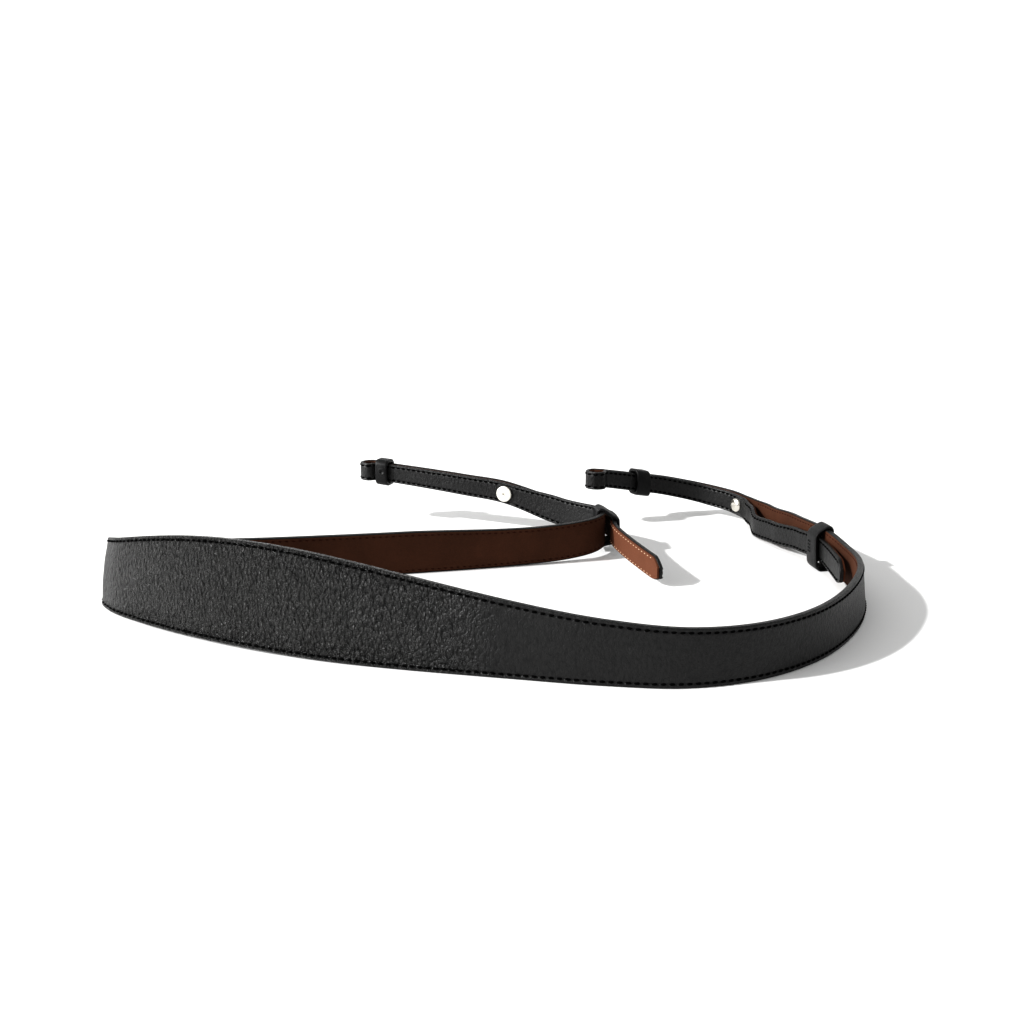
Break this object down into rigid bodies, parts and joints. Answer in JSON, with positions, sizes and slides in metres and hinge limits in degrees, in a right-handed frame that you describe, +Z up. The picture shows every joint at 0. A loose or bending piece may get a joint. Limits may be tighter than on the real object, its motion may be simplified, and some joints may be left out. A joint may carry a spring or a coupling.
{
  "type": "camera strap",
  "caption": "Padded black leather camera neck strap with a brown lining and narrow doubled ends held by keepers and studs, standing on its edge in an open loop.",
  "frame": {"origin": "centre of the bounding box at the lower edge that the strap stands on", "axes": "+X to the right along the loop's width with the pad in front, +Y away from the pad, +Z up across the strap's width"},
  "size_m": [0.3264, 0.2576, 0.0421],
  "materials": {
    "outer_leather": "pebbled black leather, satin, with black thread",
    "lining_leather": "matte brown split leather with a fine nap",
    "keeper_leather": "smooth black leather with a soft sheen",
    "stud_metal": "polished plated stud"
  },
  "bodies": {
    "root": {"strap_leather": "outer_leather", "strap_lining": "lining_leather", "end_leather_left": "outer_leather", "end_leather_right": "outer_leather", "keeper_left": "keeper_leather", "keeper_right": "keeper_leather", "end_keeper_left": "keeper_leather", "end_keeper_right": "keeper_leather", "stud_cap_left": "stud_metal", "stud_cap_right": "stud_metal", "stud_screw_left": "stud_metal", "stud_screw_right": "stud_metal"}
  },
  "joints": []
}
